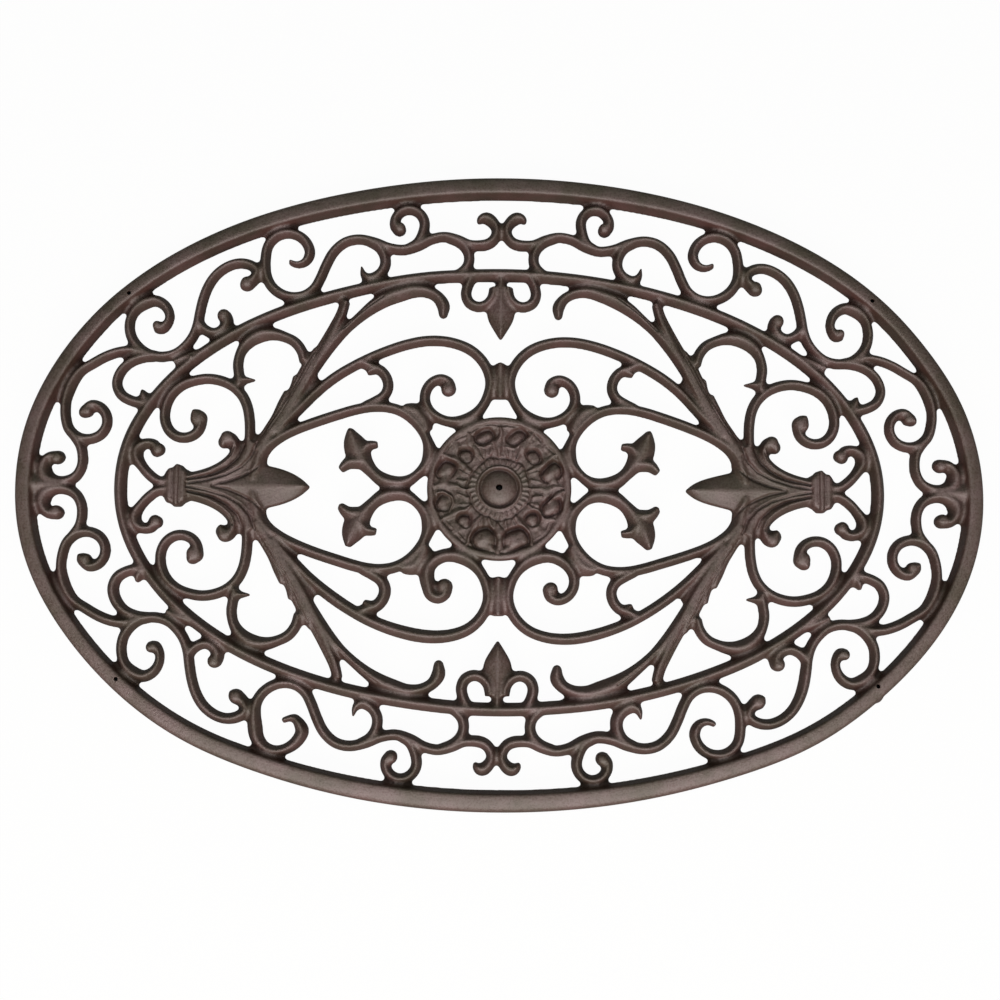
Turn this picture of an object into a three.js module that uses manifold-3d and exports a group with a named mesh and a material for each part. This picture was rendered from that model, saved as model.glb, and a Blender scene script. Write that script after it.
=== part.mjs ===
// Oval cast iron door mat: one openwork casting on five push-in rubber feet.
// Millimetres, +Z up, X along the mat, origin on the ground under the centre.

import * as THREE from 'three';
import { mergeVertices } from 'three/addons/utils/BufferGeometryUtils.js';
import Module from 'manifold-3d';

const wasm = await Module();
wasm.setup();

// Overall sizes of the casting
const MAT_LENGTH = 720;
const MAT_WIDTH = 474;
const FOOT_DROP = 3;            // ground to the underside of the casting

// Rim: a rounded hoop, flat below
const RIM_WIDTH = 16;
const RIM_HEIGHT = 14;
const RIM_BULGE = 2.05;         // exponent of the rim's oval, 2 is an ellipse
const RIM_SIDES = 60;

// Inner oval band that parts the border from the field
const BORDER_AT_ENDS = 74;      // outer edge of the rim to outer edge of the band
const BORDER_AT_SIDES = 70.5;
const BAND_WIDTH = 9;
const BAND_HEIGHT = 11.5;
const BAND_SIDES = 48;

// Scroll bars: drafted walls under a narrow crown
const BAR_WIDTH = 7.4;
const BAR_HEIGHT = 11;
const TIP_HEIGHT_SHARE = 0.55;  // height left where a bar thins out to nothing
const CROWN_WIDTH = 4;
const CROWN_SHARE = 0.45;       // the crown narrows with the bar where the bar tapers
const CURVE_TOLERANCE = 1.05;   // how far a facet may stray from its curve
const SAMPLES_PER_KNOT = 8;
const CURL_STEP = 40;           // degrees between the drawn points of a curl
const END_REACH = 0.85;         // a rounded end: how far past the last point, and how wide there
const END_WIDTH_SHARE = 0.5;

// Medallion and its relief, as shares of radius and height
const MEDALLION_RADIUS = 53.5;
const MEDALLION_HEIGHT = 11;
const MEDALLION_RELIEF = [
  [0, 0], [1, 0], [1, 0.8], [0.92, 1], [0.85, 0.68], [0.5, 0.68], [0.41, 1], [0.32, 0.72],
];
const MEDALLION_SIDES = 28;
const BOSS_RADIUS = 14;
const BOSS_HEIGHT = 13;
const BOSS_RELIEF = [[0.9, 0.85], [0.5, 1], [0, 1]];

// Sections of the two hoops, as shares of the width inwards and of the height
const RIM_SECTION = [[0, 0], [0, 0.5], [0.3, 1], [0.75, 0.95], [1, 0]];
const BAND_SECTION = [[0, 0], [0.22, 1], [0.78, 1], [1, 0]];

// Feet and the holes that hold them
const HOLE_RADIUS = 2.45;
const STEM_CLEARANCE = 0.3;
const SEAT_GAP = 0.3;
const FOOT_RADIUS = 8;
const FOOT_EDGE = 1.2;          // rounding round the bottom of a foot
const STEM_LENGTH = 8;
const PAD_RADIUS = 9.5;         // cast pad round each rim hole
const PAD_HEIGHT = 9;
const PAD_TAPER = 0.75;
const PAD_SIDES = 12;
const HOLE_SIDES = 16;
const FOOT_SIDES = 16;
const RIM_HOLE = [277.5, 143.5];

// Ovals that the scrollwork is drawn between: half length, half width, exponent
const DRAWN_OVALS = [
  [53.5, 53.5, 2],
  [277, 157.5, 2],
  [286, 166.5, 2],
  [344, 221, 2.05],
  [360, 237, 2.05],
];

// The mat's own ovals, in the same order
const RIM_OVAL = [MAT_LENGTH / 2, MAT_WIDTH / 2, RIM_BULGE];
const BAND_OVAL = [MAT_LENGTH / 2 - BORDER_AT_ENDS, MAT_WIDTH / 2 - BORDER_AT_SIDES, 2];
const OVALS = [
  [MEDALLION_RADIUS, MEDALLION_RADIUS, 2],
  [BAND_OVAL[0] - BAND_WIDTH, BAND_OVAL[1] - BAND_WIDTH, 2],
  BAND_OVAL,
  [RIM_OVAL[0] - RIM_WIDTH, RIM_OVAL[1] - RIM_WIDTH, RIM_BULGE],
  RIM_OVAL,
];

// Oval between two neighbours of a list, s counted in whole ovals from the medallion
function ovalAt(ovals, s) {
  const i = Math.min(Math.max(Math.floor(s), 0), ovals.length - 2);
  return ovals[i].map((value, k) => value + (ovals[i + 1][k] - value) * (s - i));
}

// Carries a drawn point to the same place between the mat's own ovals
function place([x, y]) {
  let low = -0.99;
  let high = DRAWN_OVALS.length - 1.5;
  for (let step = 0; step < 40; step++) {
    const s = (low + high) / 2;
    const [a, b, n] = ovalAt(DRAWN_OVALS, s);
    const outside = a <= 0 || b <= 0 || Math.abs(x / a) ** n + Math.abs(y / b) ** n > 1;
    if (outside) low = s;
    else high = s;
  }
  const drawn = ovalAt(DRAWN_OVALS, low);
  const real = ovalAt(OVALS, low);
  return [x * real[0] / drawn[0], y * real[1] / drawn[1]];
}

// Closed mesh through rings of equally many points, capped unless it runs round
function loft(rings, closed = false) {
  const count = rings[0].length;
  const index = [];
  const spans = closed ? rings.length : rings.length - 1;
  for (let i = 0; i < spans; i++) {
    const here = i * count;
    const next = ((i + 1) % rings.length) * count;
    for (let k = 0; k < count; k++) {
      const k2 = (k + 1) % count;
      index.push(here + k, here + k2, next + k, here + k2, next + k2, next + k);
    }
  }
  const last = (rings.length - 1) * count;
  for (let k = 1; k < count - 1 && !closed; k++) {
    index.push(0, k + 1, k, last, last + k, last + k + 1);
  }
  const geometry = new THREE.BufferGeometry();
  geometry.setAttribute('position', new THREE.Float32BufferAttribute(rings.flat(2), 3));
  geometry.setIndex(index);
  return geometry;
}

// Turns a closed mesh into a solid, with its faces pointing out
function solid(geometry) {
  geometry.deleteAttribute('normal');
  geometry.deleteAttribute('uv');
  const merged = mergeVertices(geometry, 1e-4);
  const vertProperties = new Float32Array(merged.attributes.position.array);
  const triVerts = new Uint32Array(merged.index.array);
  let volume = 0;
  const corner = (i) => new THREE.Vector3().fromArray(vertProperties, 3 * triVerts[i]);
  for (let i = 0; i < triVerts.length; i += 3) {
    volume += corner(i).dot(corner(i + 1).cross(corner(i + 2)));
  }
  if (volume < 0) triVerts.reverse();
  return new wasm.Manifold(new wasm.Mesh({ numProp: 3, vertProperties, triVerts }));
}

// Solid back to a three.js geometry
function toGeometry(manifold) {
  const mesh = manifold.getMesh();
  const geometry = new THREE.BufferGeometry();
  geometry.setAttribute('position', new THREE.BufferAttribute(mesh.vertProperties, 3));
  geometry.setIndex(new THREE.BufferAttribute(mesh.triVerts, 1));
  geometry.computeVertexNormals();
  return geometry;
}

// Points on a curl about a centre, its radius running from r0 to r1 as it turns
function curl(cx, cy, r0, r1, from, to, widths = [1, 1]) {
  const steps = Math.max(2, Math.round(Math.abs(to - from) / CURL_STEP));
  return Array.from({ length: steps + 1 }, (_, i) => {
    const share = i / steps;
    const turn = THREE.MathUtils.degToRad(from + (to - from) * share);
    const radius = r0 + (r1 - r0) * share;
    const width = widths[0] + (widths[1] - widths[0]) * share;
    return [cx + radius * Math.cos(turn), cy + radius * Math.sin(turn), width];
  });
}

// Where a bar has its facet joints: as far apart as the tolerance of its curve allows
function joints(curve, samples) {
  const points = Array.from({ length: samples + 1 }, (_, i) => curve.getPoint(i / samples));
  const nearest = new THREE.Vector3();
  const strays = (from, to) => {
    const chord = new THREE.Line3(points[from], points[to]);
    for (let i = from + 1; i < to; i++) {
      chord.closestPointToPoint(points[i], true, nearest);
      if (nearest.distanceTo(points[i]) > CURVE_TOLERANCE) return true;
    }
    return false;
  };
  const stops = [0];
  while (stops.at(-1) < samples) {
    let next = stops.at(-1) + 1;
    while (next < samples && !strays(stops.at(-1), next + 1)) next++;
    stops.push(next);
  }
  return stops.map((i) => i / samples);
}

// A drawn bar: x, y and the width as a share of BAR_WIDTH at each point
function bar(points, roundedAt = 'neither') {
  const knots = points.map(([x, y, share = 1]) => {
    const [px, py] = place([x, y]);
    return new THREE.Vector3(px, py, share * BAR_WIDTH / 2);
  });
  const curve = new THREE.CatmullRomCurve3(knots, false, 'centripetal');
  const stations = joints(curve, SAMPLES_PER_KNOT * (knots.length - 1)).map((t) => {
    const { x, y, z } = curve.getPoint(t);
    const tangent = curve.getTangent(t).setZ(0).normalize();
    return { x, y, half: z, tangent };
  });
  if (roundedAt === 'start') stations.unshift(roundEnd(stations[0], -1));
  if (roundedAt === 'end') stations.push(roundEnd(stations.at(-1), 1));
  return solid(loft(stations.map(barSection)));
}

// One more station, past the end of a bar, that rounds it off
function roundEnd({ x, y, half, tangent }, side) {
  const reach = side * END_REACH * half;
  return {
    x: x + reach * tangent.x,
    y: y + reach * tangent.y,
    half: half * END_WIDTH_SHARE,
    tangent,
  };
}

// Cross-section of a bar: drafted walls up to a narrow crown, lower where the bar thins out
function barSection({ x, y, half, tangent }) {
  const at = (offset, z) => [x - tangent.y * offset, y + tangent.x * offset, FOOT_DROP + z];
  const fullness = Math.min(1, half / (BAR_WIDTH / 2));
  const top = BAR_HEIGHT * (TIP_HEIGHT_SHARE + (1 - TIP_HEIGHT_SHARE) * fullness);
  const crown = Math.min(half * CROWN_SHARE, CROWN_WIDTH / 2);
  return [at(-half, 0), at(-crown, top), at(crown, top), at(half, 0)];
}

// Hoop along an oval: profile points are shares of the width inwards and of the height
function hoop([a, b, n], width, height, profile, sides) {
  const rings = Array.from({ length: sides }, (_, i) => {
    const turn = 2 * Math.PI * i / sides;
    const [c, s] = [Math.cos(turn), Math.sin(turn)];
    const [u, v] = [Math.sign(c) * Math.abs(c) ** (2 / n), Math.sign(s) * Math.abs(s) ** (2 / n)];
    return profile.map(([inwards, up]) => [
      u * (a - inwards * width),
      v * (b - inwards * width),
      FOOT_DROP + up * height,
    ]);
  });
  return solid(loft(rings, true));
}

// Round piece turned about an upright axis, from radius and height pairs
function turned(profile, x, y, sides) {
  const geometry = new THREE.LatheGeometry(profile.map(([r, z]) => new THREE.Vector2(r, z)), sides);
  geometry.rotateX(Math.PI / 2);
  geometry.translate(x, y, 0);
  return solid(geometry);
}

// Copy of a solid mirrored across the mat's length or width
function mirrored(manifold, signX, signY) {
  const geometry = toGeometry(manifold);
  geometry.scale(signX, signY, 1);
  return solid(geometry);
}

const join = (solids) => solids.reduce((sum, next) => sum.add(next));

// Border scrollwork, one quarter, drawn from the middle of the long side round to the end
function borderQuarter() {
  const topHook = curl(14.3, 195.9, 10.3, 11, 65, 265, [0.6, 1.1]);
  const wave = [
    [24, 185.6], [33, 189.5], [43, 191.9], [53, 190], [63, 184.7], [74, 181.6], [85, 183.2],
    [96, 187.7], [108, 190], [118, 187.6], [126.5, 180], [132, 169.5], [136, 159.5],
  ];
  const saddle = [[140.5, 151.3], [147.5, 146], [156.5, 144.4], [165.5, 146.8], [173, 153], [177, 162]];
  const crest = curl(160.3, 177.3, 17.2, 16, 0, 170);
  const crestHook = curl(153, 178.6, 8.3, 9.4, 200, 315, [1, 0.5]);
  const legToBand = [[40, 191], [32, 187.5], [26, 181.5], [24.2, 174.5], [26, 168], [31, 163]];
  const rimHook = [[70, 182.6], [63, 187.5], ...curl(70.7, 202, 12.5, 10.2, 190, -10), [77.4, 197.6, 1.3]];
  const bandHook = [
    [100, 188.5], [92.5, 184], [88.2, 177], [87.6, 169.5], [91, 163], [98, 158.5, 1.2],
    [103.5, 162, 0.7], [105.5, 169, 0.15],
  ];
  const hanger = [
    [190.8, 154, 1.45], [185.3, 158.3, 1.1], [183.4, 164], [188.8, 168.6], [197.5, 169.9],
    [206.3, 167], [214.4, 160.6], [220.2, 151.6], [223.8, 141.3], [225.9, 131],
    [227.4, 122], [230.4, 113.5], [235.8, 106], [243, 100.2], [252, 97.8],
  ];
  const loop = [
    [262, 99], [270.5, 104.4], [276, 112.6], [277.2, 122.5], [274.5, 131.5], [268, 138, 1.25],
    [259.2, 140.3, 1.1], [251, 136.5], [246.8, 129.5], [247.4, 122], [252.3, 117],
    [258.8, 118.2, 0.6],
  ];
  const ballHook = [[226, 122], [219, 119], [212.8, 116, 1.3], [207.6, 120.5, 1.3], [207.2, 129, 1.4]];
  const bandLink = [
    [258, 98], [267.5, 97], [277, 93.4], [284.3, 86], [286.5, 77], [282.6, 68.8], [274.3, 64],
    [264, 61.5],
  ];
  const ram = [
    [258, 98.3], [267, 100.3], [276, 102.2], [286, 101.2], [296, 97.8], [305.5, 92.5],
    [313.6, 87.3], [318.3, 81.5, 1.1], [322.5, 72.3, 1.15], [324.3, 62], [323.3, 51.5],
    [320, 42.5], [313, 36.5], [304.5, 35], [296.5, 38.2], [292, 45], [292.2, 53], [297, 59.3],
    [303.5, 61], [308, 56, 1.25],
  ];
  const tail = [
    [316, 38.5], [310.5, 31], [308.7, 23], [309.6, 14.5], [314, 7.2], [321.5, 3, 1.1],
    [330, 3, 1.1], [337.8, 6.4, 1.7], [339.4, 14.2, 1.5], [334.6, 21.3], [328, 21, 1.3],
  ];
  return [
    bar([...topHook, ...wave, ...saddle, ...crest, ...crestHook], 'start'),
    bar(legToBand),
    bar(rimHook, 'end'),
    bar(bandHook),
    bar([...hanger, ...loop], 'start'),
    bar(ballHook, 'end'),
    bar(bandLink),
    bar(ram, 'end'),
    bar(tail, 'end'),
  ];
}

// Scrollwork of the field inside the band, one quarter
function fieldQuarter() {
  const arch = [
    [166, 40], [158, 50], [150, 58.5], [141.5, 67.5], [132, 76.5], [121, 85], [109, 92.3],
    [96.5, 98.7], [83.5, 104.2], [70.5, 108.5], [57.5, 111.2], [45, 111.6], [33, 109.5],
    [22.5, 105], [14.5, 98], [9.3, 89.5], [7.2, 80],
  ];
  const archCurl = [
    [9.2, 70], [13.6, 61.5], [20.2, 54.2, 1.3], [28.5, 50.3, 1.35], [38, 50.6], [46.5, 53.5],
    [52.8, 58.8], [56, 66], [55.2, 74], [50.7, 80.2], [44, 82.7], [38.2, 80], [37.6, 75, 1.25],
  ];
  const bough = [
    [182.5, 5, 1.7], [180, 15, 1.7], [177.8, 24, 1.5], [172, 31, 1.15], [163, 37.6], [153, 43], [142, 47.5],
    [131, 51.5], [120, 55.2], [109, 58.6], [98, 60.9], [87, 61.3], [76.4, 59.2], [67, 53.9],
    [59, 45.8], [54, 36.6], [51.6, 27, 1.4],
  ];
  const boughEnd = [
    [53.8, 18.2, 1.4], [60.5, 9.8, 1.1], [68.8, 4.6, 1.3], [77, 3.9, 1.35], [86, 6, 1.4],
    [93.5, 11.5, 1.2], [100, 19, 1.6], [105, 27, 2.1], [109, 35.5, 1.4], [111.6, 44.5, 0.15],
  ];
  const leftTip = [[103, 26, 1.3], [97.5, 31.7, 0.8], [89.8, 32.4, 0.2]];
  const rightTip = [[101, 19.5, 1.4], [111.5, 18.8, 1.1], [119.3, 12, 0.15]];
  const feather = [
    [43.2, 133, 0.8], [43.3, 139], [47.5, 144.8], [56, 149], [66, 150, 1.15], [76, 147.5, 1.3],
    [86, 143.5, 1.4], [96, 137.3, 1.1], [105.8, 129.5], [114.3, 120.8], [121.8, 111.2],
    [128.6, 100.8, 0.9], [136, 88, 0.6],
  ];
  const longLeaf = [
    [116.5, 143, 1.1], [119.5, 132, 1.05], [123.5, 121.5, 1.2], [129.5, 109.5, 1.8],
    [137, 96.5, 2.3], [150.5, 71, 2.5], [157, 59, 2.4], [164, 47.5, 2.1], [171, 38, 1.9],
    [180, 28, 1.9],
  ];
  const cup = [
    [146.5, 95], [148.8, 103], [154, 109.8], [162, 113.8], [171, 116, 1.25], [180.5, 115, 1.5],
    [189, 109.5, 1.3], [194.3, 101.5], [196.2, 92.5], [195.2, 84], [194, 76],
  ];
  const cupSpur = [[195, 80.3, 1.1], [182.5, 80.3, 0.15]];
  const swan = [
    [186.3, 30], [186, 41], [186.6, 51], [188.5, 60.5], [192.5, 68.8], [199.3, 75.5],
    [208, 79.6], [218, 81.2], [228, 79.8], [237.4, 76.2], [245, 69.4], [249.3, 60],
    [249.8, 49.8], [246, 41.5], [239.3, 37], [231.3, 37], [224.8, 41.3], [222.3, 48],
    [225.6, 52.8, 1.35],
  ];
  const boughLink = [
    [104, 94.8], [96.8, 91.6], [89.6, 88.9], [84.9, 83], [83.7, 76], [86.6, 69.6], [93, 65.3],
    [100.5, 61.5],
  ];
  const fleurRing = [[24.5, 159], [25.2, 150], [24.3, 143.5], [20.3, 138], [13.5, 136.3], [5, 137]];
  const hookedRib = [
    [204.8, 33.6, 1.25], [204.2, 36.8], [200.3, 37], [196.5, 31.5], [197, 25], [201.5, 19],
    [210, 13], [222, 8.3], [236, 5.5],
  ];
  const broadRib = [[183.5, 33, 1.8], [188, 22, 2.3], [197, 11.5, 2.3], [212, 4, 1.6], [236, 2]];
  const endHook = [
    [246, 2.8], [253, 3.5], [260, 8.3], [265.8, 14.8], [270, 22, 1.25], [269, 28.5, 1.25],
    [263, 32], [257, 31], [255.2, 26.5, 1.2],
  ];
  return [
    bar([...arch, ...archCurl], 'end'),
    bar([...bough, ...boughEnd]),
    bar(leftTip),
    bar(rightTip),
    bar(feather, 'start'),
    bar(longLeaf),
    bar(cup),
    bar(cupSpur),
    bar(swan, 'end'),
    bar(boughLink),
    bar(fleurRing),
    bar(hookedRib, 'start'),
    bar(broadRib),
    bar(endHook, 'end'),
  ];
}

// Pieces that sit across the mat's long axis, one end: spear leaf, collar and link to the rim
function endAxisPieces() {
  const spearLeaf = [
    [142, 0, 0.15], [151, 0, 1.6], [160, 0, 2.6], [170, 0, 3.4], [182, 0, 4.2], [206, 0, 3.6],
    [234, 0, 1.7],
  ];
  const collar = [[239.5, -14.5, 0.6], [239.5, -9.5, 2.3], [239.5, 9.5, 2.3], [239.5, 14.5, 0.6]];
  const rimLink = [[324, 0, 1.1], [347, 0, 2.7]];
  return [
    bar(spearLeaf),
    bar(collar),
    bar(rimLink),
  ];
}

// Pieces that sit across the mat's short axis, one side: fleur leaf and the web between arches
function sideAxisPieces() {
  const fleurLeaf = [
    [0, 160, 2.3], [0, 146, 2.25], [0, 138, 2.7], [0, 132, 2.75], [0, 125, 2.2], [0, 118, 1.2],
    [0, 111.5, 0.15],
  ];
  const archWeb = [[0, 94.5, 1], [0, 88, 1.6], [0, 74, 1.6], [0, 67.5, 1]];
  return [
    bar(fleurLeaf),
    bar(archWeb),
  ];
}

// Disc with a raised edge, a ring round the boss, and a domed boss
function medallion() {
  const disc = MEDALLION_RELIEF.map(([r, z]) => [r * MEDALLION_RADIUS, FOOT_DROP + z * MEDALLION_HEIGHT]);
  const boss = BOSS_RELIEF.map(([r, z]) => [r * BOSS_RADIUS, FOOT_DROP + z * BOSS_HEIGHT]);
  return turned([...disc, ...boss], 0, 0, MEDALLION_SIDES);
}

// Places of the five feet
const [holeX, holeY] = place(RIM_HOLE);
const RIM_FEET = {
  foot_back_right: [holeX, holeY],
  foot_back_left: [-holeX, holeY],
  foot_front_left: [-holeX, -holeY],
  foot_front_right: [holeX, -holeY],
};
const FEET = { ...RIM_FEET, foot_centre: [0, 0] };

// The whole casting, cut for the stems of the feet
function casting() {
  const hoops = [
    hoop(RIM_OVAL, RIM_WIDTH, RIM_HEIGHT, RIM_SECTION, RIM_SIDES),
    hoop(BAND_OVAL, BAND_WIDTH, BAND_HEIGHT, BAND_SECTION, BAND_SIDES),
  ];
  const quarter = join([...borderQuarter(), ...fieldQuarter()]);
  const quarters = [[1, 1], [-1, 1], [-1, -1], [1, -1]].map(([sx, sy]) => mirrored(quarter, sx, sy));
  const end = join(endAxisPieces());
  const side = join(sideAxisPieces());
  const halves = [1, -1].flatMap((sign) => [mirrored(end, sign, 1), mirrored(side, 1, sign)]);
  const padTop = FOOT_DROP + PAD_HEIGHT;
  const pad = [[0, FOOT_DROP], [PAD_RADIUS, FOOT_DROP], [PAD_RADIUS * PAD_TAPER, padTop], [0, padTop]];
  const pads = Object.values(RIM_FEET).map(([x, y]) => turned(pad, x, y, PAD_SIDES));
  const above = FOOT_DROP + BOSS_HEIGHT + RIM_HEIGHT;
  const hole = [[0, 0], [HOLE_RADIUS, 0], [HOLE_RADIUS, above], [0, above]];
  const holes = Object.values(FEET).map(([x, y]) => turned(hole, x, y, HOLE_SIDES));
  return join([...hoops, medallion(), ...quarters, ...halves, ...pads]).subtract(join(holes));
}

// Rubber bumper: a domed head under the casting and a stem pushed up into the hole
function foot(x, y) {
  const seat = FOOT_DROP - SEAT_GAP;
  const stem = HOLE_RADIUS - STEM_CLEARANCE;
  const stemTop = FOOT_DROP + STEM_LENGTH;
  const profile = [
    [0, 0], [FOOT_RADIUS - FOOT_EDGE, 0], [FOOT_RADIUS, FOOT_EDGE], [FOOT_RADIUS, seat],
    [stem, seat], [stem, stemTop], [0, stemTop],
  ];
  return turned(profile, x, y, FOOT_SIDES);
}

const castIron = new THREE.MeshStandardMaterial({ color: 0x4f4540, roughness: 0.5, metalness: 0.6 });
const rubber = new THREE.MeshStandardMaterial({ color: 0x17171a, roughness: 0.85, metalness: 0 });

const group = new THREE.Group();

function addPiece(name, manifold, material) {
  const mesh = new THREE.Mesh(toGeometry(manifold), material);
  mesh.name = name;
  group.add(mesh);
}

addPiece('mat_casting', casting(), castIron);
for (const [name, [x, y]] of Object.entries(FEET)) addPiece(name, foot(x, y), rubber);

export default group;
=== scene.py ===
"""Oval cast iron door mat, one openwork casting on five push-in rubber feet.

Sizes are millimetres, +Z up, X along the mat, the ground at zero, and every piece is
brought to metres when its mesh is finished.
"""

import math

import bmesh
import bpy
import numpy as np
from mathutils import Matrix, Vector


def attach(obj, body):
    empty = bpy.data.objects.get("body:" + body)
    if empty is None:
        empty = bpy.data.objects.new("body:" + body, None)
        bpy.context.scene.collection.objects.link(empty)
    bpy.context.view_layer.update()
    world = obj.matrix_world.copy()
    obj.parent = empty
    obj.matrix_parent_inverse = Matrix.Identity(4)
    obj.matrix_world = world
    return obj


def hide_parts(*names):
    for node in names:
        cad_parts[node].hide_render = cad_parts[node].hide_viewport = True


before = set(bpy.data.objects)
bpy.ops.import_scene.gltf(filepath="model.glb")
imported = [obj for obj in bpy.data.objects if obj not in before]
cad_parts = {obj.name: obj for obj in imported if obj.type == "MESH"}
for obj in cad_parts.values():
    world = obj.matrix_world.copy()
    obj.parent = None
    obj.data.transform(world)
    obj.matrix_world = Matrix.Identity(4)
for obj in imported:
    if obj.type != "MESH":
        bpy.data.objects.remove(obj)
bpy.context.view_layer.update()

MM = 0.001
WELD = 0.001                    # points closer than this are one, in millimetres

# Ground to the underside of the casting
FOOT_DROP = 3.0

# Rim and inner band: half length, half width and exponent of their outer and inner ovals
RIM_OUTER = (359.5, 237.0, 2.055)
RIM_INNER = (344.6, 220.2, 2.085)
RIM_HEIGHT = 14.0
BAND_OUTER = (286.6, 167.2, 2.03)
BAND_INNER = (276.4, 156.8, 2.03)
BAND_HEIGHT = 11.5

# Stub left on the edge of the rim where the iron was poured in
POURING_STUB = ((273, 154.2, 0.3), (278.5, 150.8, 0.85), (284, 146.3, 0.3))
STUB_HEIGHT = 9.5

# Scroll bars
BAR_WIDTH = 8.3
BAR_HEIGHT = 11.0
LEAF_HEIGHT = 11.6
LEAF_WEB_HEIGHT = 6.5
TIP_HEIGHT_SHARE = 0.55         # height left where a bar thins out to nothing
STATION_STEP = 2.0              # between the sections of a sweep
SHORTEST_GAP = 0.1              # between two drawn points, as the root of their distance
THINNEST_HALF = 0.1             # half width at which a sweep stops thinning out
END_ARCS = (35, 65, 85)         # degrees round a blunt end at which it has a section
END_FALL = 0.35                 # how the height falls round it, lower is blunter

# Sides of the round shapes
HOOP_SIDES = 360
DISC_SIDES = 96
FOOT_SIDES = 64
DRILL_SIDES = 48
PAD_SIDES = 32
KNOB_SIDES = 24

# Sections as offset and height shares: half of a ridge, then the rim from outside inwards
SCROLL_HALF = ((1, 0), (0.97, 0.2), (0.7, 0.52), (0.38, 0.85), (0.08, 1.03))
GABLE_HALF = ((1, 0), (1, 0.35), (0.9, 0.52), (0.45, 0.78), (0.04, 1))
LEAF_SECTION = (
    (1, 0), (1, 0.34), (0.93, 0.5), (0.55, 0.68), (0.1, 0.86), (-0.25, 0.98), (-0.45, 1.0),
    (-0.65, 0.86), (-0.88, 0.5), (-1, 0.2), (-1, 0),
)
RIM_SECTION = (
    (0, 0), (0, 0.3), (0.02, 0.5), (0.07, 0.68), (0.16, 0.8), (0.3, 0.89), (0.45, 0.95),
    (0.6, 0.99), (0.7, 1.0), (0.77, 0.97), (0.815, 0.86), (0.9, 0.42), (1.0, 0),
)

# Ridges of the collar round the stems at each end: place, half length, width and height
COLLAR_FLUTES = ((233.5, 12.2, 1.1, 12.6), (238.2, 15.6, 1.5, 13.6), (243.6, 12.8, 1.3, 12.6))
FLUTE_TAPER = 4                 # length over which a ridge narrows at each end
FLUTE_TIP = 0.7                 # its width there

# Blobs at the ends of the scrolls, as radius and height shares
KNOB_PROFILE = (
    (0, 0), (1, 0), (1, 0.4), (0.94, 0.66), (0.78, 0.86), (0.5, 1.0), (0.2, 1.06), (0, 1.07),
)

# Unevenness of the hand-cut pattern: place, how far it is off, extra width and how far it reaches
UNEVEN = (
    (-155.0, -170.0, 5.0, 0.0, 0.0, 4.5),
    (-144.0, -182.0, 2.5, 0.5, 0.25, 6.0),
    (320.0, 105.0, -1.8, -1.2, 0.0, 45.0),
    (356.0, 42.0, -0.7, 0.0, 0.0, 30.0),
    (-320.0, -105.0, 1.8, 1.2, 0.0, 45.0),
    (-325.0, 80.0, 1.0, -0.8, 0.0, 45.0),
    (230.0, -180.0, 1.0, -2.4, 0.0, 40.0),
    (-230.0, -180.0, -0.6, -1.6, 0.0, 40.0),
    (-110.0, 232.0, 0.3, -1.1, 0.0, 60.0),
    (-358.0, 0.0, 1.0, 0.0, 0.0, 60.0),
    (-60.0, -108.0, 0.0, 2.2, 0.25, 28.0),
    (60.0, -108.0, 0.0, 1.4, 0.0, 28.0),
    (-120.0, -78.0, 0.6, 2.2, 0.15, 20.0),
    (120.0, -78.0, -0.6, 1.6, 0.0, 20.0),
    (-155.0, -34.0, 0.0, 0.9, 0.15, 18.0),
    (-50.0, -66.0, 1.0, 0.0, 0.5, 7.0),
    (-42.0, -47.0, 0.0, 1.4, 0.3, 8.0),
    (42.0, -47.0, 0.0, 1.4, 0.3, 8.0),
    (0.0, -66.0, 0.0, 2.0, 0.0, 6.0),
    (-38.5, -75.5, -1.6, 1.4, 0.0, 6.0),
    (0.0, 167.0, 0.0, 0.7, 0.0, 40.0),
    (0.0, -167.0, 0.0, -0.7, 0.0, 40.0),
    (221.0, -137.0, 0.3, 0.0, 0.1, 12.0),
    (43.0, -134.0, 0.5, -2.0, 0.0, 7.0),
    (208.0, -128.0, -2.0, 1.8, 0.0, 6.0),
    (-66.0, 146.0, 0.0, -0.8, 0.2, 12.0),
    (-56.0, -72.0, 3.4, 0.8, 0.0, 7.0),
    (-176.0, -178.0, 1.0, 1.0, 0.4, 9.0),
    (16.0, -203.0, -1.2, 1.4, 0.0, 5.0),
    (62.0, 198.0, 1.8, 0.0, 0.0, 9.0),
    (75.0, -150.0, 0.0, -0.8, 0.35, 24.0),
    (-97.0, 137.0, 0.0, 0.5, 0.2, 10.0),
    (97.0, 137.0, 0.0, 0.5, 0.2, 10.0),
    (163.0, 66.0, -1.8, 0.0, 0.0, 15.0),
    (141.0, 0.0, -2.2, 0.0, 0.0, 8.0),
    (164.0, 0.0, 0.0, 0.0, -0.12, 12.0),
    (-277.0, 122.0, -1.4, 0.0, 0.0, 11.0),
    (-254.5, 119.5, -2.2, 0.8, 0.1, 5.5),
    (-285.0, -80.0, 1.5, 0.5, 0.12, 11.0),
    (285.0, -80.0, -1.5, 0.5, 0.0, 11.0),
    (-16.0, -203.0, 1.6, 1.4, 0.0, 5.0),
    (118.0, -112.0, -0.8, -1.2, 0.0, 18.0),
    (-65.0, 150.0, 0.0, 1.5, 0.12, 20.0),
    (-300.0, 55.0, -1.8, 0.0, 0.0, 16.0),
    (-316.0, 36.0, -1.4, 0.0, 0.0, 18.0),
    (300.0, 90.0, -0.9, -0.5, -0.1, 20.0),
    (177.0, 165.0, 1.2, 0.0, 0.0, 10.0),
)

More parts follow.
